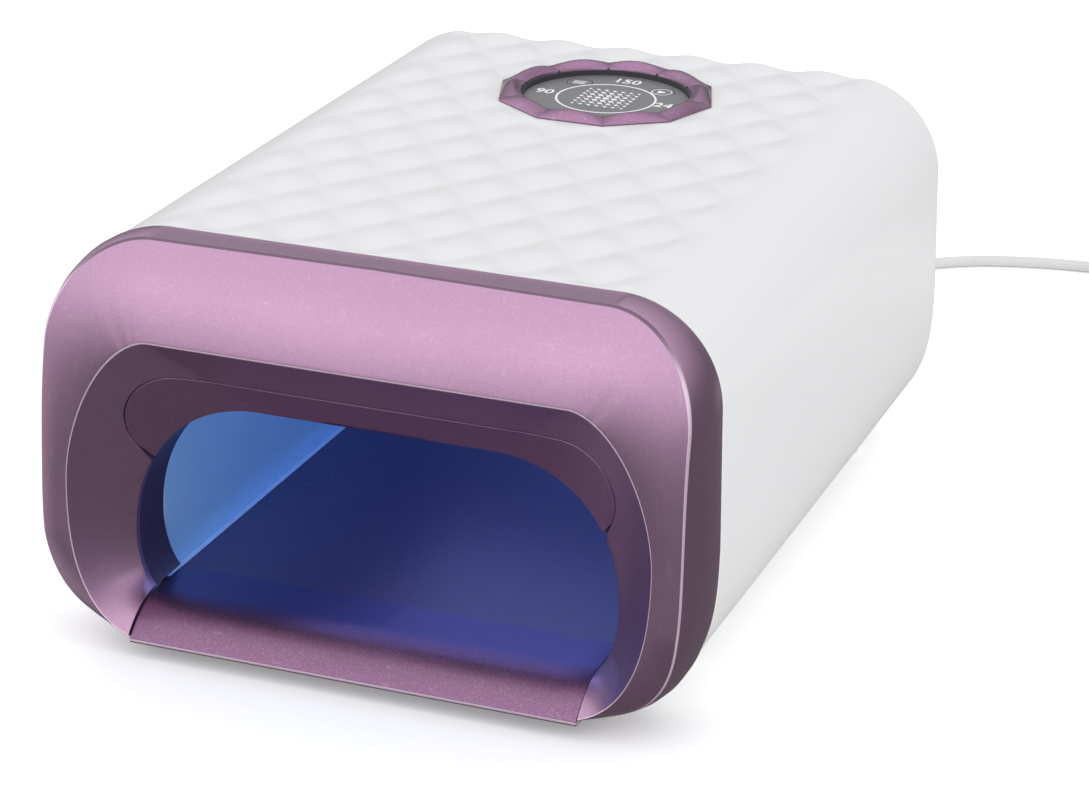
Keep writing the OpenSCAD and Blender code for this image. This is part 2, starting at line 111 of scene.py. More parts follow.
def coat(name, colour, roughness, metallic=0.0, mottle=0.06, mottle_size=35.0, wear=0.15,
         grain=1400.0, stretch=(1, 1, 1), relief=0.00003, clear=0.0):
    """A material whose colour, roughness and fine relief all vary over the object."""
    material = bpy.data.materials.new(name)
    material.use_nodes = True
    tree = material.node_tree
    shader = tree.nodes["Principled BSDF"]
    surface = add(tree, "Group", node_tree=worked_surface)
    for key, value in (("Colour", (*colour, 1)), ("Roughness", roughness), ("Mottle", mottle),
                       ("Wear", wear), ("Mottle size", mottle_size), ("Grain size", grain),
                       ("Stretch", stretch)):
        surface.inputs[key].default_value = value
    bump = add(tree, "Bump", {"Height": surface.outputs["Height"], "Distance": relief, "Strength": 1.0})
    for key, value in (("Base Color", surface.outputs["Colour"]),
                       ("Roughness", surface.outputs["Roughness"]),
                       ("Normal", bump.outputs["Normal"])):
        tree.links.new(value, shader.inputs[key])
    shader.inputs["Metallic"].default_value = metallic
    shader.inputs["Coat Weight"].default_value = clear
    return material


mm = 0.001
lead_thick = 4.2
lead_run = [(28, 172, 18), (28, 180, 17.6), (28, 190, 14.5), (28, 202, 8.5), (28.3, 213, 4),
            (29, 224, 2.2), (31, 240, 2.1), (35, 257, 2.1), (41, 274, 2.1), (50, 289, 2.1),
            (61, 301, 2.1), (71, 308, 2.1), (81, 313, 2.1), (99, 318.4, 2.1), (118, 321.4, 2.1),
            (138, 322.8, 2.1), (150, 323.2, 2.1)]
coil_x, coil_y, coil_out = 160, 291.9, 31.3
coil_turns, layer_turns, turn_steps = 7.25, 3, 40
climb_early, climb_length = 0.15, 0.5
tail_x = 186.05
tail_run = [(tail_x, 290, 10.5), (tail_x, 283, 10.6), (tail_x, 275, 10.8), (tail_x, 266, 11.4),
            (tail_x, 257, 11.8), (tail_x, 250, 12)]


def flowing(points, steps):
    """The points and steps - 1 more after each, on one smooth curve through them."""
    line = []
    for i in range(len(points) - 1):
        a, b, c, d = (Vector(points[min(max(i + k, 0), len(points) - 1)]) for k in (-1, 0, 1, 2))
        for k in range(steps):
            t = k / steps
            line.append(0.5 * (2 * b + (c - a) * t + (2 * a - 5 * b + 4 * c - d) * t * t
                               + (3 * b - a - 3 * c + d) * t ** 3))
    return line + [Vector(points[-1])]


def coiled():
    """The lead wound inwards on the table, outwards on that layer, and inwards again on top."""
    line = []
    for k in range(round(coil_turns * turn_steps) + 1):
        turn = k / turn_steps
        inward = abs((turn + layer_turns) % (2 * layer_turns) - layer_turns)
        climbed = sum(min(max((turn - layer * layer_turns + climb_early) / climb_length, 0), 1)
                      for layer in (1, 2))
        around = math.radians(90 - 360 * turn)
        reach = coil_out - lead_thick * inward
        line.append(Vector((coil_x + reach * math.cos(around), coil_y + reach * math.sin(around),
                            lead_thick * (0.5 + climbed))))
    return line


def place_lead(points):
    """A round cord along the points, as a curve with closed ends."""
    curve = bpy.data.curves.new("power_lead", "CURVE")
    curve.dimensions = "3D"
    spline = curve.splines.new("POLY")
    spline.points.add(len(points) - 1)
    for point, xyz in zip(spline.points, points):
        point.co = (*(c * mm for c in xyz), 1)
    curve.bevel_depth = lead_thick / 2 * mm
    curve.bevel_resolution = 5
    curve.use_fill_caps = True
    piece = bpy.data.objects.new("power_lead", curve)
    bpy.context.collection.objects.link(piece)
    return piece


lead = place_lead(flowing(lead_run, 3) + coiled() + flowing(tail_run, 3))
lead_jacket = coat("soft_white_jacket", (0.64, 0.64, 0.635), 0.42, mottle=0.04, grain=900,
                   relief=0.00002)
lead.data.materials.append(lead_jacket)
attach(lead, "housing")
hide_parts("lead", "lead_coil", "lead_tail")


# ---- Base plate, guides, screws and feet ----
# The flat moulded floor of the lamp with the two rails that the drawer runs in, held up
# by four self-tapping screws, and four soft feet glued into the lower corners.
def dress(material, *names):
    """Gives CAD nodes a material in place of their plain one."""
    for name in names:
        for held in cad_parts[name].material_slots:
            held.material = material


def block(low, high, edge=0.3, bm=None):
    """A box between two corners with rounded edges."""
    bm = bm or bmesh.new()
    low, high = Vector(low), Vector(high)
    placed = Matrix.Translation((low + high) / 2) @ Matrix.Diagonal((*(high - low), 1))
    made = bmesh.ops.create_cube(bm, size=1, matrix=placed)
    edges = list(dict.fromkeys(e for v in made["verts"] for e in v.link_edges))
    if edge:
        bmesh.ops.bevel(bm, geom=edges, offset=edge, offset_type="OFFSET", segments=3,
                        profile=0.5, affect="EDGES", clamp_overlap=True, material=-1)
    return bm


def join(bm, extra):
    """Adds a finished mesh to another one and lets it go."""
    held = bpy.data.meshes.new("held")
    extra.to_mesh(held)
    extra.free()
    bm.from_mesh(held)
    bpy.data.meshes.remove(held)
    return bm


def turned(profile, centre, along=(0, 0, 1), steps=64, bm=None):
    """A profile of (radius, height) points spun round an axis through centre."""
    spun = bmesh.new()
    points = [spun.verts.new((r, 0, h)) for r, h in profile]
    edges = [spun.edges.new(pair) for pair in zip(points, points[1:])]
    bmesh.ops.spin(spun, geom=points + edges, cent=(0, 0, 0), axis=(0, 0, 1), angle=math.tau,
                   steps=steps, use_merge=True)
    bmesh.ops.remove_doubles(spun, verts=spun.verts, dist=0.002)
    aim = Vector((0, 0, 1)).rotation_difference(Vector(along)).to_matrix().to_4x4()
    bmesh.ops.transform(spun, matrix=Matrix.Translation(centre) @ aim, verts=spun.verts)
    return join(bm, spun) if bm else spun


def set_down(bm, name, material, body="housing", replaces=(), smooth=38):
    """Turns a finished mesh in millimetres into a piece of the object."""
    bmesh.ops.recalc_face_normals(bm, faces=bm.faces)
    bmesh.ops.scale(bm, vec=(mm, mm, mm), verts=bm.verts)
    mesh = bpy.data.meshes.new(name)
    bm.to_mesh(mesh)
    bm.free()
    mesh.polygons.foreach_set("use_smooth", [True] * len(mesh.polygons))
    mesh.set_sharp_from_angle(angle=math.radians(smooth))
    mesh.materials.append(material)
    piece = bpy.data.objects.new(name, mesh)
    bpy.context.collection.objects.link(piece)
    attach(piece, body)
    if replaces:
        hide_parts(*replaces)
    return piece


inner_white = coat("inner_white_plastic", (0.74, 0.75, 0.76), 0.5, mottle=0.06, grain=1100,
                   relief=0.00004)
under_white = coat("base_white_plastic", (0.68, 0.685, 0.69), 0.48, mottle=0.05, grain=2200,
                   relief=0.00006)
grey_rubber = coat("pale_foot_rubber", (0.72, 0.72, 0.7), 0.7, mottle=0.1, grain=2600, relief=0.00008)
zinc_steel = coat("zinc_plated_steel", (0.62, 0.63, 0.66), 0.3, metallic=1.0, mottle=0.12,
                  grain=1800, stretch=(1, 1, 6))
dress(under_white, "base_plate")
dress(inner_white, "guide_left", "guide_right")
dress(grey_rubber, "foot_1", "foot_2", "foot_3", "foot_4")
dress(zinc_steel, "base_screw_1", "base_screw_2", "base_screw_3", "base_screw_4")
rib_half = 0.6
base_ribs = bmesh.new()
for x in (-40, 0, 40):
    block((x - rib_half, -84, 5.45), (x + rib_half, 90, 5.75), 0.12, base_ribs)
set_down(base_ribs, "base_ribs", under_white)
collar_profile = [(1.8, 0.62), (1.8, 0.35), (2.3, 0.2), (2.9, 0.2), (3.1, 0.4), (3.1, 0.62)]
screw_collars = bmesh.new()
for x in (-71.9, 71.9):
    for y in (-95, 105):
        turned(collar_profile, (x, y, 2.6), bm=screw_collars)
set_down(screw_collars, "base_screw_collars", under_white)

# ---- Casing ----
# The quilted white shell, injection moulded in ABS. Its top is covered in low pillows
# between sharp diagonal grooves, smooth round the dial and along the rounded sides.
top_high, top_half, top_round = 124, 100, 31
shell_spec = (top_half, 3, top_high, top_round, top_round, 2, 51, 51, 3.1, 1.4)
rear_y, seam_y, lean, mid_high = 133.2, -104.6, 0.042, 63.5
dial_y, hole_round = 77.2, 30.6
pillow_x, pillow_y, pillow_fine = 23.4, 35.6, 20
pillow_swell, groove_deep = 1.35, 0.9
quilt_half, quilt_front, quilt_back, quilt_round = 77.5, -101.2, 131.7, 36.6
quilt_above, quilt_columns, quilt_rows = 110, 66, 132
side_fade, front_fade, dial_fade = 10.5, 5, 4.5
foot_x, side_x, side_z, side_steps = 74.6, 78.6, 60, 26


def side_curve(spec, end_x, steps):
    """Right half of a tunnel outline as (x, z), from its bottom up to the middle of the top.

    The spec holds the half width, bottom and top, then the reach across, the reach down and
    the fullness of the upper corner, the same of the lower corner, and the side's flare.
    """
    half, low, top, across, down, full, low_across, low_up, low_full, flare = spec
    centre_x = half + flare - low_across
    share = (end_x - centre_x) / low_across
    start = math.pi / 2 if share <= 0 else math.acos(share ** (low_full / 2))
    line = []
    for i in range(steps + 1):
        a = start * (1 - i / steps)
        line.append((centre_x + low_across * max(math.cos(a), 0) ** (2 / low_full),
                     low + low_up - low_up * math.sin(a) ** (2 / low_full)))
    for i in range(steps + 1):
        a = math.pi / 2 * i / steps
        line.append((half - across + across * max(math.cos(a), 0) ** (2 / full),
                     top - down + down * math.sin(a) ** (2 / full)))
    return line + [((half - across) * (1 - i / 12), top) for i in range(1, 13)]


def net(rows, highlight_columns=()):
    """A mesh with a vertex for every point of rows; ends that meet are joined.

    Faces in the highlight_columns take the piece's second material, a painted highlight line.
    """
    bm = bmesh.new()
    wide, deep = len(rows[0]) - 1, len(rows) - 1
    bmesh.ops.create_grid(bm, x_segments=wide, y_segments=deep, size=1)
    for face in bm.faces:
        face.material_index = int((face.calc_center_median().x + 1) / 2 * wide) in highlight_columns
    for v in bm.verts:
        v.co = rows[round((v.co.y + 1) / 2 * deep)][round((v.co.x + 1) / 2 * wide)]
    bmesh.ops.remove_doubles(bm, verts=bm.verts, dist=0.0005)
    return bm


def from_dial(x, y):
    """Distance from the dial's middle, seen from above."""
    return math.hypot(x, y - dial_y)


def groove_waves(x, y):
    """Two waves over the top, each of which is 0 along one run of diagonal grooves."""
    a, b = (x - pillow_x / 2) / pillow_x, (y - quilt_back) / pillow_y
    return abs(math.cos(math.pi * (a + b))), abs(math.cos(math.pi * (a - b)))


def pillow(x, y):
    """Height of the quilt over the smooth shell, which fades out at its edges and the dial."""
    one, other = groove_waves(x, y)
    shown = 1.0
    for edge in ((quilt_half - abs(x)) / side_fade, (y - quilt_front) / front_fade,
                 (from_dial(x, y) - quilt_round) / dial_fade):
        edge = min(max(edge, 0), 1)
        shown *= edge * edge * (3 - 2 * edge)
    return shown * (pillow_swell * one * other - groove_deep)


def shell_line():
    """The shell's outline from its right foot to its left one, in columns set by the quilt."""
    step = pillow_x / pillow_fine
    side = [p for p in side_curve(shell_spec, foot_x, side_steps) if p[0] > side_x or p[1] < side_z]
    top = [k * step for k in range(quilt_columns, -1, -1)]
    turn_x, turn_z = top_half - top_round, top_high - top_round
    lift = [turn_z + math.sqrt(top_round ** 2 - max(x - turn_x, 0) ** 2) for x in top]
    half = side + list(zip(top, lift))
    return half + [(-x, z) for x, z in half[-2::-1]]


def shell_row(y, tuck, front_row):
    """The outline at one depth, pulled in by the tuck and leant with the seam in front."""
    row = []
    for i, (x, z) in enumerate(outline):
        (x0, z0), (x1, z1) = outline[max(i - 1, 0)], outline[min(i + 1, len(outline) - 1)]
        out = Vector((z1 - z0, x0 - x1)).normalized() * tuck
        front = seam_y + 0.12 + lean * (z - mid_high)
        back = rear_y - (rear_y - y) * (rear_y - front) / (rear_y - front_row)
        quilt = pillow(x, min(y, quilt_back)) if z > quilt_above else 0
        row.append((x - out[0], back, z + quilt - out[1]))
    return row


outline = shell_line()
row_step = pillow_y / pillow_fine
rounded_rear = [(rear_y, 0.8), (rear_y - 0.2, 0.35), (rear_y - 0.7, 0.06)]
depths = rounded_rear + [(quilt_back - row_step * k, 0.0) for k in range(quilt_rows)]
shell = net([shell_row(y, tuck, depths[-1][0]) for y, tuck in depths])

# Each face of the quilt is cut along its groove and never across it.
forward, sideways = [], []
for face in shell.faces:
    middle = face.calc_center_median()
    one, other = groove_waves(middle.x, middle.y)
    corner = face.verts[2].co - face.verts[0].co
    if middle.z > quilt_above:
        (forward if (corner.x * corner.y > 0) == (other < one) else sideways).append(face)
bmesh.ops.triangulate(shell, faces=forward, quad_method="FIXED")
bmesh.ops.triangulate(shell, faces=sideways, quad_method="ALTERNATE")

# The dial's hole: whole faces go, and the ragged edge is drawn onto its circle.
bmesh.ops.delete(shell, context="FACES", geom=[
    f for f in shell.faces if f.calc_center_median().z > quilt_above
    and any(from_dial(v.co.x, v.co.y) < hole_round for v in f.verts)])
for v in shell.verts:
    away = from_dial(v.co.x, v.co.y)
    if away < hole_round + 2 and v.co.z > quilt_above and v.is_boundary:
        scale = hole_round / away
        v.co.x, v.co.y = v.co.x * scale, dial_y + (v.co.y - dial_y) * scale
casing_white = coat("casing_white_abs", (0.71, 0.71, 0.712), 0.4, mottle=0.02, mottle_size=14,
                    wear=0.12, grain=2500, relief=0.000012, clear=0.08)
casing = set_down(shell, "quilted_casing", casing_white, replaces=["casing"], smooth=40)
wall = casing.modifiers.new("wall", "SOLIDIFY")
wall.thickness = 2.5 * mm
wall.offset = -1
post_profile = [(0.9, 88.2), (1.1, 87.8), (3.0, 87.8), (3.2, 88), (3.2, 118), (4.2, 121.6), (0, 121.6)]
posts = bmesh.new()
for x in (-46, 46):
    for y in (-78, 20):
        turned(post_profile, (x, y, 0), steps=32, bm=posts)
        for fin_x in (x - 3, x + 3):
            block((fin_x - 2, y - rib_half, 108), (fin_x + 2, y + rib_half, 121.6), 0.2, posts)
set_down(posts, "casing_posts", inner_white)

# ---- Rear cover ----
# The white panel that closes the back, screwed inside the shell, with a row of cooling
# slots in thin raised rims and a small black socket for the lead.
dress(under_white, "rear_cover")
cover_y, slot_low, slot_high, slot_apart = 130.1, 87.4, 104, 9
rear_bolts = [(x, z) for x in (-78, 78) for z in (40, 92)]
socket_x, socket_z = 28, 18
to_rear, to_right = (0, 1, 0), (1, 0, 0)
rims = bmesh.new()
for k in range(-4, 5):
    slot_x = slot_apart * k
    for x in (slot_x - 2, slot_x + 1.5):
        block((x, cover_y, slot_low + 0.1), (x + 0.5, cover_y + 0.8, slot_high + 0.5), 0.15, rims)
    for z in (slot_low, slot_high):
        block((slot_x - 2, cover_y, z), (slot_x + 2, cover_y + 0.8, z + 0.6), 0.15, rims)
for z in (84, 107.2):
    block((-44, cover_y, z), (44, cover_y + 0.5, z + 0.8), 0.2, rims)
for x, z in rear_bolts:
    turned([(4.2, -0.4), (4.2, 0.5), (3.8, 0.9), (3.1, 0.9), (2.9, 0.5), (2.9, -0.4)], (x, cover_y, z),
           to_rear, bm=rims)
set_down(rims, "rear_louvre_rims", under_white)
bolts = bmesh.new()
for x, z in rear_bolts:
    turned([(0, 0.1), (0.9, 0.1), (1.0, 0.4), (2.3, 0.4), (2.7, 0), (2.7, -0.6)], (x, cover_y + 0.1, z),
           to_rear, bm=bolts)
set_down(bolts, "rear_screws", zinc_steel)
black_abs = coat("black_socket_plastic", (0.035, 0.035, 0.04), 0.45, mottle=0.3, grain=2000,
                 relief=0.00004)
rim = turned([(4.5, -2.5), (4.5, 0.2), (4.7, 0.5), (6.6, 0.5), (7, 0.1), (7, -0.2)],
             (socket_x, cover_y + 0.3, socket_z), to_rear)
set_down(rim, "socket_rim", black_abs)
dress(black_abs, "dc_jack", "select_switch", "start_switch", "buzzer")


# ---- Light tunnel ----
# Bent sheets of bright reflector round the hand: two walls on folded feet, a ceiling
# with a hole for each lamp, and a back. Blue light from the lamps fills it, and is also
# painted into the sheets' blue colour; their folded edges carry a painted highlight.
def lay_over(material, mask, colour, metallic=None):
    """Lays another colour, and another metallic value if given, over a coat where a mask is 1."""
    tree = material.node_tree
    shader = tree.nodes["Principled BSDF"]
    under = shader.inputs["Base Color"].links[0].from_socket
    mix = add(tree, "Mix", {0: mask, 6: under, 7: (*colour, 1)}, data_type="RGBA")
    tree.links.new(mix.outputs[2], shader.inputs["Base Color"])
    if metallic is not None:
        shine = add(tree, "Math", {0: mask, 1: metallic}, operation="MULTIPLY")
        tree.links.new(shine.outputs[0], shader.inputs["Metallic"])
    return material


def place_along(tree, axis):
    """The object's own x, y or z, in metres."""
    place = add(tree, "TexCoord").outputs["Object"]
    return add(tree, "SeparateXYZ", {0: place}).outputs[axis]


def band(material, axis, low, high):
    """A mask that is 1 where the object's own x, y or z lies between two places in metres."""
    tree = material.node_tree
    return add(tree, "Math", {0: place_along(tree, axis), 1: (low + high) / 2, 2: (high - low) / 2},
               operation="COMPARE").outputs[0]


# The sheets' blue base colour is painted blue lamplight on bright reflector.
blue_light_painted_sheet = coat("reflector_sheet_painted_blue_light", (0.36, 0.67, 0.96), 0.34, metallic=0.3, mottle=0.1,
                  mottle_size=12, grain=700, stretch=(1, 0.15, 1), relief=0.00002)
dress(blue_light_painted_sheet, "reflector_left", "reflector_right", "reflector_top", "reflector_back")
# The folds' pale bluish white is a painted highlight along the floor line and the walls' front edges.
painted_highlight_edge = coat("sheet_edge_painted_highlight", (0.75, 0.88, 1.0), 0.35, metallic=0.4, mottle=0.1, grain=1200)
folds = bmesh.new()
for foot_fold, front_fold in (((-76.4, -70.7), (-76.5, -75.9)), ((70.7, 76.4), (75.9, 76.5))):
    block((foot_fold[0], -97.4, 9.55), (foot_fold[1], 97.8, 10.2), 0.15, folds)
    block((front_fold[0], -97.7, 9.6), (front_fold[1], -96.9, 67.8), 0.15, folds)
set_down(folds, "reflector_folds", painted_highlight_edge)

# ---- Lamps and their board ----
# Six rows of four violet LEDs, white packages under clear domes, soldered to a white
# aluminium board with pale tracks. A grooved plate on its back spreads the heat.
lamp_package = coat("lamp_package", (0.7, 0.72, 0.7), 0.4, mottle=0.15, grain=1500)
domes = band(lamp_package, 2, 0.0805, 0.0824)
lay_over(lamp_package, domes, (0.35, 0.4, 0.95))
lamp_tree = lamp_package.node_tree
lamp_shader = lamp_tree.nodes["Principled BSDF"]
lit = add(lamp_tree, "Mix", {0: domes, 6: (0, 0, 0, 1), 7: (0.22, 0.25, 1, 1)}, data_type="RGBA")
lamp_tree.links.new(lit.outputs[2], lamp_shader.inputs["Emission Color"])
lamp_shader.inputs["Emission Strength"].default_value = 1.5
dress(lamp_package, *(f"led_row_{n}" for n in range(1, 7)))


def tracked_board(name, lacquer, track, size):
    """A circuit board's lacquer, with tracks in another colour and tinned pads."""
    material = coat(name, lacquer, 0.35, mottle=0.12, grain=1600, clear=0.2)
    tree = material.node_tree
    place = add(tree, "TexCoord").outputs["Object"]
    bricks = add(tree, "TexBrick", {"Vector": place, "Scale": size, "Mortar Size": 0.035,
                                    "Mortar Smooth": 0.1, "Color1": (0, 0, 0, 1),
                                    "Color2": (0, 0, 0, 1), "Mortar": (1, 1, 1, 1)})
    lay_over(material, bricks.outputs["Fac"], track)
    pads = add(tree, "TexVoronoi", {"Vector": place, "Scale": size * 3.1, "Randomness": 0.35})
    tinned = add(tree, "Math", {0: pads.outputs["Distance"], 1: 0.2}, operation="LESS_THAN").outputs[0]
    return lay_over(material, tinned, (0.7, 0.7, 0.72), metallic=0.9)


white_board = tracked_board("white_lamp_board", (0.78, 0.8, 0.78), (0.62, 0.62, 0.56), 60)
green_board = tracked_board("green_circuit_board", (0.02, 0.16, 0.07), (0.05, 0.3, 0.12), 180)
dress(white_board, "led_board")
dress(coat("milled_aluminium", (0.72, 0.73, 0.75), 0.32, metallic=1.0, mottle=0.1, grain=900,
           stretch=(0.08, 1, 1)), "heat_spreader")

# ---- Drawer ----
# The hand drawer: a lacquered ramp that continues the funnel, darker and navy inwards as
# painted shade and blue lamplight, with a painted highlight along its front edge; a white
# pan with stiffening ribs that runs in the guides; and a mirrored floor let into the pan,
# painted dark navy as shade and blue lamplight.
tray_half, lip_y, mouth_y = 70, -130.8, -114.3
ramp_low, ramp_high, ramp_back, ramp_edge = 6, 14.9, -110, 0.3
low_y, high_y, deck_y = lip_y + lean * (ramp_low - mid_high), mouth_y + 0.8, mouth_y + 16
slope = [(low_y + (high_y - low_y) * t, ramp_high + (ramp_low - ramp_high) * (1 - t) ** 2.3)
         for t in (k / 40 for k in range(41))]
nose = [(low_y + 0.35, 4.75), (low_y + 0.05, 5.2)]
underside = [(deck_y, ramp_high), (deck_y, 12.9), (-105.8, 12.9), (-105.8, 5.8), (-108.6, 5.8),
             (-108.6, 4.3), (low_y + 1.2, 4.4)]
section = nose + slope + underside + nose[:1]
xs = [-tray_half + ramp_edge * (1 - math.cos(math.pi / 2 * k / 4)) for k in range(5)]
xs += [-60 + 12 * k for k in range(11)] + [-x for x in xs[::-1]]
ramp_rows = []
for x in xs:
    past = max(abs(x) - tray_half + ramp_edge, 0)
    tuck = ramp_edge - math.sqrt(max(ramp_edge ** 2 - past ** 2, 0))
    ramp_rows.append([(x, y + (tuck if y < ramp_back else 0), z - (tuck if z > ramp_low else 0))
                      for y, z in section])
# Column 1, along the ramp's front edge, takes the painted highlight line.
ramp = net(ramp_rows, highlight_columns=(1,))
bmesh.ops.holes_fill(ramp, edges=ramp.edges, sides=0)


def metallic_lacquer(name, colour, roughness):
    """Satin metallic paint: a mauve base with fine bright flakes and faint rubbed scratches."""
    material = coat(name, colour, roughness, metallic=0.88, mottle=0.1, mottle_size=26, wear=0.22,
                    grain=1700, relief=0.000018, clear=0.1)
    pale_mauve = (0.62, 0.44, 0.56)
    tree = material.node_tree
    place = add(tree, "TexCoord").outputs["Object"]
    flakes = add(tree, "TexVoronoi", {"Vector": place, "Scale": 3600.0}).outputs["Color"]
    glint = add(tree, "SeparateXYZ", {0: flakes}).outputs[0]
    bright = add(tree, "Math", {0: glint, 1: 0.86}, operation="GREATER_THAN").outputs[0]
    faint = add(tree, "Math", {0: bright, 1: 0.12}, operation="MULTIPLY").outputs[0]
    lay_over(material, faint, pale_mauve)
    pulled = add(tree, "VectorMath", {0: place, 1: (260, 900, 60)}, operation="MULTIPLY").outputs[0]
    rub = add(tree, "TexNoise", {"Vector": pulled, "Scale": 1.0, "Detail": 6.0}).outputs["Fac"]
    scuff = add(tree, "MapRange", {0: rub, 1: 0.62, 2: 0.78, 3: 0.0, 4: 0.14}).outputs[0]
    return lay_over(material, scuff, pale_mauve)


def shade_along(material, axis, start, end, colour):
    """Lets a coat's colour pass softly into another one along the object's own x, y or z."""
    tree = material.node_tree
    reached = add(tree, "MapRange", {0: place_along(tree, axis), 1: start, 2: end},
                  interpolation_type="SMOOTHSTEP").outputs[0]
    lay_over(material, reached, colour)


mauve_lacquer = metallic_lacquer("mauve_metallic_lacquer", (0.33, 0.195, 0.295), 0.36)
# The ramp is a darker copy of the bezel lacquer, as painted shade, turning navy towards the mouth as
# painted shade and blue lamplight.
shaded_ramp_paint = metallic_lacquer("ramp_paint_painted_shade", (0.17, 0.085, 0.155), 0.36)
shade_along(shaded_ramp_paint, 1, -0.124, -0.112, (0.075, 0.055, 0.18))
ramp = set_down(ramp, "drawer_ramp", shaded_ramp_paint, body="tray",
                replaces=["tray_front"], smooth=50)
# A pale painted highlight line for the crease, the lip and the ramp's front edge; from 104 mm up it
# darkens into a painted dark line along the top of the crease.
painted_highlight_line = coat("lacquer_edge_painted_highlight", (0.62, 0.47, 0.58), 0.4, metallic=0.45, mottle=0.12,
                     grain=1200)
shade_along(painted_highlight_line, 2, 0.104, 0.1205, (0.13, 0.075, 0.115))
ramp.data.materials.append(painted_highlight_line)
dress(inner_white, "tray_pan")
# The mirror floor's dark navy is painted shade and blue lamplight in the tunnel.
shaded_mirror_floor = coat("mirror_floor_painted_shade", (0.06, 0.045, 0.13), 0.3, metallic=0.55, mottle=0.08,
                   mottle_size=10, wear=0.1, grain=800, relief=0.00001)
dress(shaded_mirror_floor, "floor_mirror")
drawer_ribs = bmesh.new()
for y in range(-90, 90, 30):
    for low_x, high_x in ((-69, -67.6), (67.6, 69)):
        block((low_x, y - rib_half, 5.82), (high_x, y + rib_half, 8), 0.15, drawer_ribs)
block((-66, 93.4, 8.2), (66, 94.6, 12.6), 0.3, drawer_ribs)
set_down(drawer_ribs, "drawer_ribs", inner_white, body="tray")

# ---- Bezel, visor and mouth collar ----
# The deep lacquered hood round the opening: a bezel whose face rolls over a crisp crease
# and lip into a funnel, with a painted highlight line on both and a painted dark line along
# the top of the crease, a visor let into its upper half in a darker lacquer that paints
# shade, and a collar behind it, near black as painted shade.
skin, bezel_wall, collar_wall = 1.9, 2.2, 1.55
visor_half, visor_high, visor_round = 59.5, 69.2, 16.2
rim_end, rim_high, curve_steps, crease_apart = 70.3, 40, 48, 2.5
crease_spec = (98.3, 4.4, 124, 29.3, 31, 2, 47, 49, 3.3, 0.3)
lip_spec = (90.2, 5.6, 98, 26.2, 44.6, 1.76, 30, 48, 2.5, 0)
mouth_spec = (75.7, 11.8, 75.6, 39.9, 42.4, 2.13, 12, 21.3, 2, 0)


def brow(x, z):
    """How far the crease lies in front of the seam: least over the middle of the top."""
    rise = min(max((z - 60) / 64, 0), 1) ** 3
    return -25.4 + 14.5 * rise + 1.5 * max(1 - x / 69, 0) + 6 * max((35 - z) / 30, 0) ** 1.2


def beside(outline, line):
    """Where along an outline, counted in its points, the nearest place to each point of a line is."""
    found = []
    for p in map(Vector, line):
        near = []
        for k, (a, b) in enumerate(zip(outline, outline[1:])):
            a, b = Vector(a), Vector(b)
            share = min(max((p - a).dot(b - a) / max((b - a).length_squared, 1e-9), 0), 1)
            near.append(((a.lerp(b, share) - p).length, k + share))
        found.append(min(near)[1])
    return [0.0] + found[1:]


def along(outline, share, deep):
    """The point of an outline at a counted place, deep in front of the lamp's middle."""
    k = min(int(share), len(outline) - 2)
    x, z = Vector(outline[k]).lerp(Vector(outline[k + 1]), share - k)
    return Vector((x, deep, z))


seam_curve, crease_curve, lip_curve, mouth_curve = (
    side_curve(spec, rim_end, curve_steps) for spec in (shell_spec, crease_spec, lip_spec, mouth_spec))
crease_line = []
for a, b in zip(crease_curve, crease_curve[1:]):
    parts = max(1, round(math.dist(a, b) / crease_apart))
    crease_line += [tuple(Vector(a).lerp(Vector(b), k / parts)) for k in range(parts)]
crease_line.append(crease_curve[-1])
lip_shares = beside(lip_curve, crease_line)
seam_path = [along(seam_curve, share, seam_y) for share in beside(seam_curve, crease_line)]
crease_path = [Vector((x, seam_y + brow(x, z), z)) for x, z in crease_line]
lip_path = [along(lip_curve, share, lip_y) for share in lip_shares]
mouth_path = [along(mouth_curve, share, mouth_y) for share in lip_shares]


def bowed(a, b, t, bow):
    """A point between two edges, bowed out of the straight line by a share of its length."""
    across, away = Vector((a.x - b.x, 0, a.z - b.z)), a.y - b.y
    if across.length < 0.01:
        out = Vector((0, -1, 0))
    else:
        outward = -across.length if away > 0 else across.length
        out = across.normalized() * abs(away) + Vector((0, outward, 0))
        out.normalize()
    return a.lerp(b, t) + out * 4 * bow * t * (1 - t) * (a - b).length


def funnel(i, t):
    """The funnel's skin at a share of the way from the lip in to the mouth, hollow near the floor."""
    low = max(1 - lip_shares[i] * 16 / curve_steps / 7, 0)
    return bowed(lip_path[i], mouth_path[i], t, 0.02 - 0.13 * low ** 1.5)


def behind(i, t):
    """The back of the funnel's skin."""
    lip, mouth = lip_path[i], mouth_path[i]
    out = Vector((lip.x - mouth.x + 0.01, 0, lip.z - mouth.z + 0.01)).normalized()
    return funnel(i, t) + out * skin * 0.8 * (1 - t ** 4) + Vector((0, skin, 0))


def outside_visor(p):
    """How far a point lies outside the visor's rounded end, or below 0 inside it."""
    return math.hypot(max(p.x - visor_half, 0), p.z - visor_high) - visor_round


def visor_seam(i):
    """Where the visor's seam lies between the lip, 0, and the mouth, 1."""
    if outside_visor(mouth_path[i]) > 0:
        return 1
    low, high = 0, 1
    for _ in range(16):
        middle = (low + high) / 2
        low, high = (middle, high) if outside_visor(funnel(i, middle)) > 0 else (low, middle)
    return (low + high) / 2


def rolled(before, point, after, size):
    """Five points that round a corner off."""
    a, b = (point + (q - point).normalized() * min(size, (q - point).length / 2) for q in (before, after))
    return [a.lerp(point, t).lerp(point.lerp(b, t), t) for t in (0, 0.25, 0.5, 0.75, 1)]


def leaned(points):
    """Leans a row back as the real face leans, and keeps its low end clear of the drawer."""
    clear = [(max(p.x, rim_end) if p.z < rim_high else p.x, p.y, p.z) for p in points]
    return [(x, y + lean * (z - mid_high), z) for x, y, z in clear]


def both_sides(rows):
    """Right half rows, and the same mirrored to the left."""
    return rows + [[(-x, y, z) for x, y, z in row] for row in rows[-2::-1]]


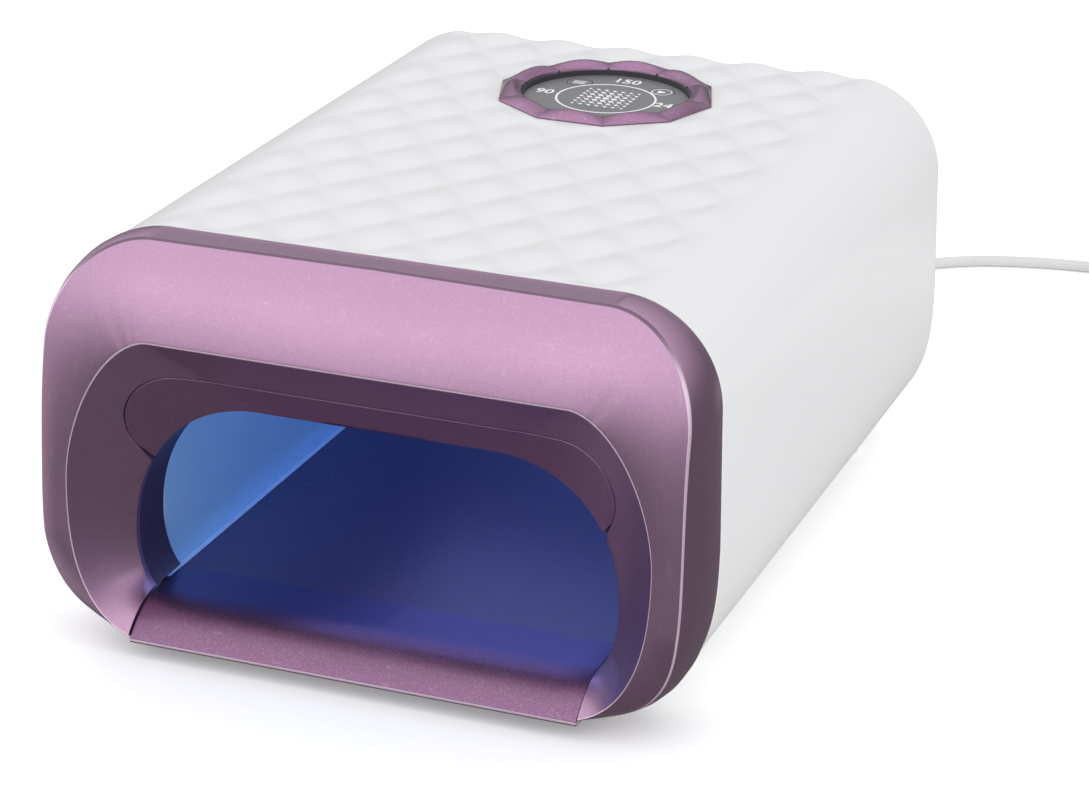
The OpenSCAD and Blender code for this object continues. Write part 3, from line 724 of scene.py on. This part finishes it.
def bezel_row(i):
    """One section of the bezel: side, crease, face, lip, funnel down to the seam, and back."""
    v, s, c, l = visor_seam(i), seam_path[i], crease_path[i], lip_path[i]
    inward = Vector((0 if i == 0 else s.x, 0, s.z - mid_high)).normalized() * bezel_wall
    face = [bowed(c, l, t, 0.06) for t in (0.06, 0.15, 0.3, 0.45, 0.6, 0.75, 0.88, 0.96)]
    side = [bowed(s, c, t, 0.08) for t in (0.04, 0.25, 0.5, 0.75, 0.92)]
    throat = [funnel(i, v * k / 12) for k in range(1, 13)]
    front = [s + inward * 0.06] + side + rolled(side[-1], c, face[0], 0.7) + face
    front += rolled(face[-1], l, throat[0], 0.6) + throat[:-1]
    front += rolled(throat[-2], throat[-1], behind(i, v), 0.3)
    rear = [behind(i, v * k / 6) for k in range(6, 0, -1)]
    rear += [l + Vector((0, 3.2, 0)) + Vector((c.x - l.x, 0, c.z - l.z)).normalized() * 1.2,
             c + Vector((0, 3, 0)) - inward, s - inward, s + inward * 0.06]
    return leaned(front + rear)


def visor_row(i):
    """One section of the visor, from just inside its seam to the mouth and back."""
    v = min(visor_seam(i) + 0.01, 0.995)
    front = [funnel(i, v + (1 - v) * k / 10) for k in range(11)]
    rear = [behind(i, v + (1 - v) * k / 10) for k in range(10, -1, -1)]
    edge = rolled(rear[-1], front[0], front[1], 0.3)
    return leaned(edge + front[1:] + rear + [rear[-1]] + edge[:1])


def collar_row(i):
    """One section of the collar that runs back from the mouth."""
    x, z = mouth_path[i].x, mouth_path[i].z
    (x0, _, z0), (x1, _, z1) = mouth_path[max(i - 1, 0)], mouth_path[min(i + 1, len(mouth_path) - 1)]
    out = Vector((z1 - z0, x0 - x1)).normalized() * collar_wall
    front, back = mouth_y + skin + 0.1 + lean * (z - mid_high), mouth_y + 16
    ys = [front + (back - front) * k / 8 for k in range(9)]
    loop = [(x, y, z) for y in ys] + [(x + out[0], y, z + out[1]) for y in ys[::-1]]
    return loop + loop[:1]


places = range(len(seam_path))
# The crease and lip columns take the painted highlight line.
crease_columns, lip_columns = range(6, 10), range(20, 22)
# The visor's lacquer is a darker copy of the bezel's, painted shade under the brow.
shaded_visor_paint = metallic_lacquer("visor_paint_painted_shade", (0.27, 0.15, 0.25), 0.38)
# The collar's near-black plum is painted shade inside the mouth.
shaded_collar_paint = coat("collar_paint_painted_shade", (0.04, 0.028, 0.07), 0.4, mottle=0.2, metallic=0.3, grain=1500)
hood = net(both_sides([bezel_row(i) for i in places]), (*crease_columns, *lip_columns))
bmesh.ops.holes_fill(hood, edges=hood.edges, sides=0)
hood = set_down(hood, "bezel_hood", mauve_lacquer, replaces=["bezel"], smooth=60)
hood.data.materials.append(painted_highlight_line)
visor = net(both_sides([visor_row(i) for i in places if visor_seam(i) < 0.992]))
bmesh.ops.holes_fill(visor, edges=visor.edges, sides=0)
set_down(visor, "visor_insert", shaded_visor_paint, replaces=["visor"], smooth=60)
collar = net(both_sides([collar_row(i) for i in places]))
bmesh.ops.holes_fill(collar, edges=collar.edges, sides=0)
set_down(collar, "mouth_collar_sleeve", shaded_collar_paint, replaces=["mouth_collar"],
         smooth=50)


# ---- Dial ring ----
# A lacquered ring pressed into the casing's round hole, cut into ten domed petals, with
# a black liner inside it that holds the dial down and a dark slit at every petal's joint;
# the liner's black, raised up the inner wall, also paints the shade under the crest.
petals, petal_turn = 10, 36
ring_round, ring_steps, crest_round = 36.5, 360, 31.1


def ring_row(degrees):
    """The ring's section at one place round it; its crest rises in the middle of a petal."""
    a = math.radians(degrees)
    edge = ring_round * math.cos(math.radians(petal_turn / 2))
    edge /= math.cos(math.radians(petal_turn / 2 - degrees % petal_turn))
    dome = abs(math.sin(petals / 2 * a)) ** 0.75

    def to_crest(t):
        return edge + (crest_round - edge) * t

    profile = [(edge - 0.1, 0.06), (edge, 0.2), (edge, 0.45), (edge - 0.15, 0.65),
               (to_crest(0.3), 0.95 + 0.8 * dome), (to_crest(0.6), 1.3 + 1.4 * dome),
               (to_crest(0.85), 1.4 + 1.75 * dome), (31.0, 1.4 + 1.8 * dome),
               (30.4, 1.35 + 1.7 * dome), (29.6, 1.25 + 1.1 * dome), (28.9, 1.15 + 0.5 * dome),
               (28.1, 1.0 + 0.2 * dome), (27.88, 0.75), (27.8, -0.2), (27.74, -0.3),
               (27.7, -5.2), (29.3, -5.2), (29.3, 0.06), (edge - 0.1, 0.06)]
    return [(r * math.cos(a), dial_y + r * math.sin(a), top_high + h) for r, h in profile]


ring = net([ring_row(360 * k / ring_steps) for k in range(ring_steps + 1)])
ring_lacquer = metallic_lacquer("ring_metallic_lacquer", (0.235, 0.125, 0.21), 0.3)
set_down(ring, "petal_ring", ring_lacquer, replaces=["control_ring"], smooth=32)
dial_top = (0, dial_y, top_high)
# The liner's black band, raised up the ring's inner wall, also paints the shade under the crest.
liner = turned([(27.86, 0.42), (27.72, 0.5), (27.6, 0.4), (27.52, -1.3), (27.66, -1.34), (27.7, -0.3)],
               dial_top, steps=160)
for k in range(petals):
    slit = block((27.62, -0.25, -0.2), (28.35, 0.25, 1.12), 0.06)
    swung = Matrix.Rotation(math.radians(petal_turn * k), 4, "Z")
    bmesh.ops.transform(slit, matrix=Matrix.Translation(dial_top) @ swung, verts=slit.verts)
    join(liner, slit)
set_down(liner, "dial_liner", black_abs)

# ---- Dial, keys and their print ----
# A satin grey disc with two flush keys. White screen print on it: a ring round a field
# of dots, the three times, three bars for choosing one and an arrow for starting.
disc_high, ink = 122.6, 0.03
dot_x, dot_y, number_round = 2.85, 3, 21.5
key_out = 20.5 * math.cos(math.radians(45))
dial_grey = coat("dial_grey_plastic", (0.16, 0.16, 0.165), 0.42, mottle=0.1, grain=2400,
                 relief=0.00003)
dress(dial_grey, "control_disc", "select_key", "start_key")
print_white = coat("screen_print_white", (0.85, 0.85, 0.86), 0.5, mottle=0.08, grain=3000)


def printed_ring(inside, outside, centre, steps=64, bm=None):
    """A flat ring of ink."""
    return turned([(inside, 0), (inside, ink), (outside, ink), (outside, 0), (inside, 0)], centre,
                  steps=steps, bm=bm)


def printed_dot(size, col, row, steps):
    """A round dot of ink in the dial's field of dots."""
    turned([(0, ink), (size, ink), (size, 0)], (dot_x * col, dial_y + dot_y * row, disc_high),
           steps=steps, bm=artwork)


def printed_number(words, x, y):
    """Upright figures as thin raised ink, added to the artwork."""
    letters = bpy.data.curves.new(words, "FONT")
    letters.body = words
    letters.size = 6.4 * mm
    letters.offset = 0.09 * mm
    letters.align_x = letters.align_y = "CENTER"
    letters.extrude = ink / 2 * mm
    holder = bpy.data.objects.new(words, letters)
    bpy.context.collection.objects.link(holder)
    finished = holder.evaluated_get(bpy.context.evaluated_depsgraph_get())
    mesh = bpy.data.meshes.new_from_object(finished)
    mesh.transform(Matrix.Translation((x, y, disc_high + ink / 2)) @ Matrix.Scale(1 / mm, 4))
    artwork.from_mesh(mesh)
    bpy.data.objects.remove(holder)


artwork = printed_ring(16.05, 16.75, (0, dial_y, disc_high), steps=128)
for col in range(-3, 4):
    for row in range(-3, 4):
        printed_dot(0.5 + 0.62 * max(1 - math.hypot(col, row) / 4.3, 0), col, row, 16)
        if abs(col + 0.5) < 2.6 and abs(row + 0.5) < 2.6:
            printed_dot(0.3, col + 0.5, row + 0.5, 12)
for words, degrees in (("90", 180), ("150", 90), ("240", 0)):
    a = math.radians(degrees)
    printed_number(words, number_round * math.cos(a), dial_y + number_round * math.sin(a))
set_down(artwork, "dial_print", print_white)
key_y = dial_y + key_out
bars = bmesh.new()
for k in (-1, 0, 1):
    bar_y = key_y + 1.2 * k
    block((-key_out - 2.2, bar_y - 0.25, disc_high), (-key_out + 2.2, bar_y + 0.25, disc_high + ink),
          0, bars)
set_down(bars, "select_bars", print_white, body="select_key")
arrow = bmesh.new()
corners = [arrow.verts.new((key_out + x, key_y + y, disc_high))
           for x, y in ((-1.3, -1.6), (1.7, 0), (-1.3, 1.6))]
lifted = bmesh.ops.extrude_face_region(arrow, geom=[arrow.faces.new(corners)])["geom"]
bmesh.ops.translate(arrow, vec=(0, 0, ink), verts=[v for v in lifted if isinstance(v, bmesh.types.BMVert)])
printed_ring(3.2, 3.55, (key_out, key_y, disc_high), bm=arrow)
set_down(arrow, "start_arrow", print_white, body="start_key")

# ---- Electronics ----
# A round control board under the dial and a small driver board at the back, with their
# switches, lights, buzzer, coil and capacitor, joined by flat grey ribbon cables.
dress(green_board, "control_board", "driver_board")
lens = coat("milky_indicator_lens", (0.8, 0.78, 0.7), 0.25, mottle=0.1, grain=1600, clear=0.5)
dress(lens, "indicator_1", "indicator_2", "indicator_3")
ribbon = coat("grey_ribbon_cable", (0.5, 0.5, 0.52), 0.5, mottle=0.1, grain=1500)
across_wires = add(ribbon.node_tree, "TexCoord").outputs["Object"]
wires = add(ribbon.node_tree, "TexWave", {"Vector": across_wires, "Scale": 160.0, "Distortion": 0.0})
lay_over(ribbon, wires.outputs["Fac"], (0.22, 0.22, 0.24))
dress(ribbon, "control_ribbon", "led_ribbon")
dress(coat("wound_ferrite", (0.32, 0.13, 0.05), 0.35, metallic=0.6, mottle=0.4, grain=500,
           stretch=(1, 1, 4)), "inductor")
sleeve = coat("capacitor_sleeve", (0.03, 0.04, 0.13), 0.35, mottle=0.15, grain=1800, clear=0.2)
lay_over(sleeve, band(sleeve, 0, 0.0168, 0.02), (0.6, 0.6, 0.62))
dress(sleeve, "capacitor")
driver_chips = [(-26, 104, 5, 4), (-16, 103, 3, 1.6), (-10, 106, 1.6, 3), (-4, 104, 6, 5),
                (6, 103, 2, 1.2), (12, 106, 3, 1.6), (-4, 118, 2, 1.2), (2, 117, 1.2, 2)]
control_chips = [(x, y, 3.2, 1.8) for x, y in ((-9, 66), (8, 66), (-10, 88), (9, 90), (0, 62))]
chips = bmesh.new()
for board_chips, low, high in ((driver_chips, 21.55, 22.8), (control_chips, 111.55, 112.6)):
    for x, y, wide, deep in board_chips:
        block((x - wide / 2, y - deep / 2, low), (x + wide / 2, y + deep / 2, high), 0.15, chips)
set_down(chips, "board_chips", black_abs)


# ---- Plug, strain reliefs and adapter ----
# The moulded ends of the lead: a round low-voltage plug and a two-pin mains adapter,
# each with a ribbed bend relief, and a soft tie round the coil.
def ribbed(start, end, length, rings):
    """A bend relief's profile, tapering between two radii, with rings cut round it."""
    profile = [(0, 0), (start, 0)]
    for k in range(rings):
        for share, deep in ((0.1, 0), (0.16, 0.55), (0.5, 0.55), (0.56, 0), (0.95, 0)):
            t = (k + share) / rings
            profile.append((start + (end - start) * t - deep * (1 - 0.6 * t), length * t))
    bore = lead_thick / 2
    return profile + [(end, length), (bore, length), (bore, length - 2), (0, length - 2)]


moulded_white = coat("moulded_white_plug", (0.66, 0.66, 0.655), 0.44, mottle=0.04, grain=2000)
plug_y, plug_half = 130.3, 5
plug_relief = set_down(turned(ribbed(4.2, 2.6, 19.7, 7), (socket_x, 152.3, socket_z), to_rear),
                       "plug_bend_relief", lead_jacket, replaces=["dc_plug_relief"])
plug = turned([(0, 0), (4.7, 0), (5.2, 0.5), (5.2, 6), (4.8, 6.4), (4.8, 7), (5.2, 7.4), (5.2, 20),
               (4.6, 21.8), (3.9, 22), (0, 22)], (socket_x, plug_y, socket_z), to_rear)
for k in range(3):
    grip_y = plug_y + 10.7 + 3 * k
    for x in (socket_x - plug_half, socket_x + plug_half):
        block((x - 0.3, grip_y, socket_z - 2.4), (x + 0.3, grip_y + 1.4, socket_z + 2.4), 0.15, plug)
turned([(1.2, -12.4), (2.4, -12.4), (2.72, -12), (2.72, 0.2)], (socket_x, plug_y, socket_z), to_rear,
       bm=plug)
plug_body = set_down(plug, "low_voltage_plug", moulded_white, replaces=["dc_plug"])
left_x, right_x, adapter_high = tail_x - 15, tail_x + 15, 40
adapter_y, joint_y, lead_end_y = 178, 209, 240
tail_relief = set_down(turned(ribbed(4.2, 2.7, 10, 4), (tail_x, lead_end_y, 12), to_rear),
                       "adapter_bend_relief", lead_jacket, replaces=["adapter_relief"])
adapter = block((left_x, adapter_y, 0), (right_x, joint_y - 0.4, adapter_high), 3.8)
block((left_x, joint_y + 0.4, 0), (right_x, lead_end_y, adapter_high), 3.8, adapter)
block((left_x + 0.5, adapter_y + 3, 0.5), (right_x - 0.5, lead_end_y - 3, adapter_high - 0.5), 3.4,
      adapter)
turned([(3.1, 0), (3.1, 0.4), (3.6, 0.4), (3.6, 0)], (tail_x - 9, lead_end_y - 0.3, 30), to_rear,
       bm=adapter)
adapter_body = set_down(adapter, "mains_adapter", moulded_white, replaces=["adapter"])
pin_sleeve = [(2.0, 0.1), (2.06, 0.3), (2.06, 9.5), (2.0, 9.8)]
pin_collar = [(3.4, 0), (3.3, 0.35), (2.1, 0.4)]
sleeves = bmesh.new()
for y in (194.5, 213.5):
    for profile in (pin_sleeve, pin_collar):
        turned(profile, (right_x, y, adapter_high / 2), to_right, steps=32, bm=sleeves)
pin_sleeves = set_down(sleeves, "pin_sleeves", black_abs)
dress(zinc_steel, "adapter_pin_1", "adapter_pin_2")
tie_rubber = coat("dark_tie_rubber", (0.06, 0.06, 0.065), 0.65, mottle=0.2, grain=1200, relief=0.00006)
dress(tie_rubber, "coil_tie")

# ---- Studio ----
# A plain pale floor, a bright sky that is dark towards the ground in reflections, soft
# boxes at the left, front and right, and the lamps' own blue light inside the tunnel.
floor_bm = bmesh.new()
bmesh.ops.create_grid(floor_bm, x_segments=1, y_segments=1, size=8)
floor_mesh = bpy.data.meshes.new("studio_floor")
floor_bm.to_mesh(floor_mesh)
floor_bm.free()
paper = coat("studio_paper", (0.9, 0.9, 0.9), 0.9, mottle=0.01, grain=60, relief=0.00001)
paper_shader = paper.node_tree.nodes["Principled BSDF"]
paper_shader.inputs["Emission Color"].default_value = (1, 1, 1, 1)
paper_shader.inputs["Emission Strength"].default_value = 0.22
floor_mesh.materials.append(paper)
studio_floor = bpy.data.objects.new("studio_floor", floor_mesh)
studio_floor.visible_glossy = False
bpy.context.collection.objects.link(studio_floor)

# What lights the lamp evenly is one strength all round. What its lacquer mirrors is a
# bright sheet in front and overhead, a brighter one at the left, and a darker room.
world = bpy.data.worlds.new("studio_sky")
bpy.context.scene.world = world
world.use_nodes = True
sky = world.node_tree
heading = add(sky, "TexCoord").outputs["Generated"]
ahead = add(sky, "VectorMath", {0: heading, 1: (0, -0.5, 0.87)}, operation="DOT_PRODUCT").outputs["Value"]
leftward, _, height = add(sky, "SeparateXYZ", {0: heading}).outputs
front_glow = add(sky, "MapRange", {0: ahead, 1: 0.12, 2: 0.97, 3: 0.17, 4: 1.45}).outputs[0]
high_glow = add(sky, "MapRange", {0: height, 1: 0.08, 2: 0.5, 3: 0.0, 4: 0.68}).outputs[0]
left_glow = add(sky, "MapRange", {0: leftward, 1: -0.6, 2: -0.92, 3: 0.0, 4: 0.9}).outputs[0]
both_glows = add(sky, "Math", {0: front_glow, 1: high_glow}, operation="ADD").outputs[0]
mirrored_sky = add(sky, "Math", {0: both_glows, 1: left_glow}, operation="ADD").outputs[0]
in_mirror = add(sky, "LightPath").outputs["Is Glossy Ray"]
strength = add(sky, "Mix", {0: in_mirror, 2: 1.06, 3: mirrored_sky}, data_type="FLOAT").outputs[0]
sky.links.new(strength, sky.nodes["Background"].inputs["Strength"])
sky.nodes["Background"].inputs["Color"].default_value = (0.98, 0.985, 1, 1)


def soft_box(name, place, aim, size, power, colour=(1, 1, 1), mirrored=False):
    """A rectangular light that isn't seen itself, and is mirrored only where it says so."""
    lamp = bpy.data.lights.new(name, "AREA")
    lamp.shape = "RECTANGLE"
    lamp.size, lamp.size_y = size
    lamp.energy = power
    lamp.color = colour
    holder = bpy.data.objects.new(name, lamp)
    aimed = (Vector(aim) - Vector(place)).to_track_quat("-Z", "Y").to_matrix().to_4x4()
    holder.matrix_world = Matrix.Translation(place) @ aimed
    holder.visible_camera = False
    holder.visible_glossy = mirrored
    bpy.context.collection.objects.link(holder)


soft_box("back_left_box", (-1.2, 1.3, 1.1), (0, 0, 0.1), (1.2, 0.8), 4.2)
soft_box("front_box", (-0.7, -1.6, 1.3), (0, -0.1, 0.05), (1.0, 0.6), 1.5, mirrored=True)
soft_box("right_box", (1.7, -0.2, 0.9), (0, 0, 0.05), (0.7, 0.7), 4.5)
soft_box("tunnel_glow", (0, -0.01, 0.0795), (0, -0.01, 0), (0.1, 0.17), 0.07, (0.42, 0.52, 1),
         mirrored=True)
bpy.context.scene.view_settings.view_transform = "Standard"
